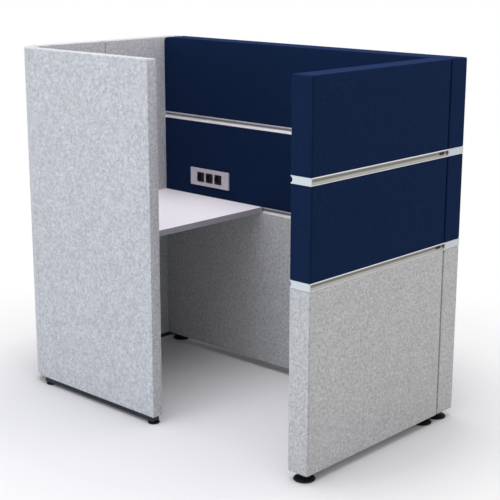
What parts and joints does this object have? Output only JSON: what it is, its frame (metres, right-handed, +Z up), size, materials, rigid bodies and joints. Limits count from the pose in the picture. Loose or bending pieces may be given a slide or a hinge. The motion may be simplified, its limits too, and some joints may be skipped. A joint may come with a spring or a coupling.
{
  "type": "study carrel",
  "caption": "Free-standing study carrel: tiled fabric walls with tool rails at the side and behind, plain screens with a curved corner, a desk with a power module, levelling feet",
  "frame": {"origin": "centre of the footprint, on the floor", "axes": "+X to the user's right, +Y ahead of the user towards the back screen, +Z up; the entry is on the -X side"},
  "size_m": [0.904, 1.596, 1.436],
  "materials": {
    "grey_fabric": "woven grey upholstery",
    "blue_fabric": "woven navy upholstery",
    "pale_fabric": "woven light grey upholstery",
    "core_board": "chipboard frame",
    "rail_aluminium": "satin extrusion",
    "rail_cap": "moulded white",
    "link_block": "moulded black",
    "frame_steel": "grey powder coat",
    "base_rail": "dark anodised",
    "zinc_steel": "zinc plated",
    "desk_laminate": "white laminate",
    "desk_edge": "grey edging",
    "angle_steel": "grey powder coat",
    "power_plate": "pale grey moulding",
    "socket_black": "black inserts",
    "box_steel": "galvanised",
    "pad_black": "black moulded pad",
    "stud_steel": "zinc plated"
  },
  "bodies": {
    "carrel": {"end_lower_cover": "grey_fabric", "end_lower_core": "core_board", "end_middle_cover": "blue_fabric", "end_middle_core": "core_board", "end_top_cover": "blue_fabric", "end_top_core": "core_board", "side_lower_cover": "grey_fabric", "side_lower_core": "core_board", "side_middle_cover": "blue_fabric", "side_middle_core": "core_board", "side_top_cover": "blue_fabric", "side_top_core": "core_board", "end_rail_lower": "rail_aluminium", "end_rail_upper": "rail_aluminium", "side_rail_lower": "rail_aluminium", "side_rail_upper": "rail_aluminium", "end_rail_caps": "rail_cap", "side_rail_caps": "rail_cap", "rail_link_blocks": "link_block", "end_posts": "frame_steel", "side_posts": "frame_steel", "end_base_plate": "frame_steel", "side_base_plate": "frame_steel", "left_screen_cover": "pale_fabric", "left_screen_core": "core_board", "corner_cover": "pale_fabric", "corner_core": "core_board", "back_left_cover": "pale_fabric", "back_left_core": "core_board", "back_right_cover": "pale_fabric", "back_right_core": "core_board", "left_base_rail": "base_rail", "back_base_rail": "base_rail", "screen_dowels": "zinc_steel", "desk_top": "desk_laminate", "desk_edge": "desk_edge", "desk_angle_left": "angle_steel", "desk_angle_right": "angle_steel", "desk_angle_back": "angle_steel", "desk_screws": "zinc_steel", "power_plate": "power_plate", "power_sockets": "socket_black", "power_box": "box_steel", "foot_locknuts": "zinc_steel"},
    "end_left_foot": {"end_left_pad": "pad_black"},
    "end_left_screw": {"end_left_stud": "stud_steel"},
    "end_right_foot": {"end_right_pad": "pad_black"},
    "end_right_screw": {"end_right_stud": "stud_steel"},
    "side_front_foot": {"side_front_pad": "pad_black"},
    "side_front_screw": {"side_front_stud": "stud_steel"},
    "side_back_foot": {"side_back_pad": "pad_black"},
    "side_back_screw": {"side_back_stud": "stud_steel"},
    "left_front_foot": {"left_front_pad": "pad_black"},
    "left_front_screw": {"left_front_stud": "stud_steel"},
    "left_back_foot": {"left_back_pad": "pad_black"},
    "left_back_screw": {"left_back_stud": "stud_steel"},
    "back_left_foot": {"back_left_pad": "pad_black"},
    "back_left_screw": {"back_left_stud": "stud_steel"},
    "back_right_foot": {"back_right_pad": "pad_black"},
    "back_right_screw": {"back_right_stud": "stud_steel"}
  },
  "joints": [
    {"name": "end_left_level", "type": "slide", "parent": "carrel", "child": "end_left_foot", "axis": [0, 0, -1], "range_m": [0, 0.015]},
    {"name": "end_left_turn", "type": "hinge", "parent": "end_left_foot", "child": "end_left_screw", "pos_m": [-0.412, -0.7535, 0.01], "axis": [0, 0, -1], "range_deg": [0, 3600.5]},
    {"name": "end_right_level", "type": "slide", "parent": "carrel", "child": "end_right_foot", "axis": [0, 0, -1], "range_m": [0, 0.015]},
    {"name": "end_right_turn", "type": "hinge", "parent": "end_right_foot", "child": "end_right_screw", "pos_m": [0.308, -0.7535, 0.01], "axis": [0, 0, -1], "range_deg": [0, 3600.5]},
    {"name": "side_front_level", "type": "slide", "parent": "carrel", "child": "side_front_foot", "axis": [0, 0, -1], "range_m": [0, 0.015]},
    {"name": "side_front_turn", "type": "hinge", "parent": "side_front_foot", "child": "side_front_screw", "pos_m": [0.4, -0.758, 0.01], "axis": [0, 0, -1], "range_deg": [0, 3600.5]},
    {"name": "side_back_level", "type": "slide", "parent": "carrel", "child": "side_back_foot", "axis": [0, 0, -1], "range_m": [0, 0.015]},
    {"name": "side_back_turn", "type": "hinge", "parent": "side_back_foot", "child": "side_back_screw", "pos_m": [0.4, 0.71, 0.01], "axis": [0, 0, -1], "range_deg": [0, 3600.5]},
    {"name": "left_front_level", "type": "slide", "parent": "carrel", "child": "left_front_foot", "axis": [0, 0, -1], "range_m": [0, 0.012]},
    {"name": "left_front_turn", "type": "hinge", "parent": "left_front_foot", "child": "left_front_screw", "pos_m": [-0.421, 0.024, 0.01], "axis": [0, 0, -1], "range_deg": [0, 3456.5]},
    {"name": "left_back_level", "type": "slide", "parent": "carrel", "child": "left_back_foot", "axis": [0, 0, -1], "range_m": [0, 0.012]},
    {"name": "left_back_turn", "type": "hinge", "parent": "left_back_foot", "child": "left_back_screw", "pos_m": [-0.421, 0.669, 0.01], "axis": [0, 0, -1], "range_deg": [0, 3456.5]},
    {"name": "back_left_level", "type": "slide", "parent": "carrel", "child": "back_left_foot", "axis": [0, 0, -1], "range_m": [0, 0.012]},
    {"name": "back_left_turn", "type": "hinge", "parent": "back_left_foot", "child": "back_left_screw", "pos_m": [-0.328, 0.774, 0.01], "axis": [0, 0, -1], "range_deg": [0, 3456.5]},
    {"name": "back_right_level", "type": "slide", "parent": "carrel", "child": "back_right_foot", "axis": [0, 0, -1], "range_m": [0, 0.012]},
    {"name": "back_right_turn", "type": "hinge", "parent": "back_right_foot", "child": "back_right_screw", "pos_m": [0.426, 0.774, 0.01], "axis": [0, 0, -1], "range_deg": [0, 3456.5]}
  ],
  "couplings": [
    {"joint": "end_left_turn", "follows": "end_left_level", "rad_per_m": 4188.8},
    {"joint": "end_right_turn", "follows": "end_right_level", "rad_per_m": 4188.8},
    {"joint": "side_front_turn", "follows": "side_front_level", "rad_per_m": 4188.8},
    {"joint": "side_back_turn", "follows": "side_back_level", "rad_per_m": 4188.8},
    {"joint": "left_front_turn", "follows": "left_front_level", "rad_per_m": 5026.6},
    {"joint": "left_back_turn", "follows": "left_back_level", "rad_per_m": 5026.6},
    {"joint": "back_left_turn", "follows": "back_left_level", "rad_per_m": 5026.6},
    {"joint": "back_right_turn", "follows": "back_right_level", "rad_per_m": 5026.6}
  ]
}
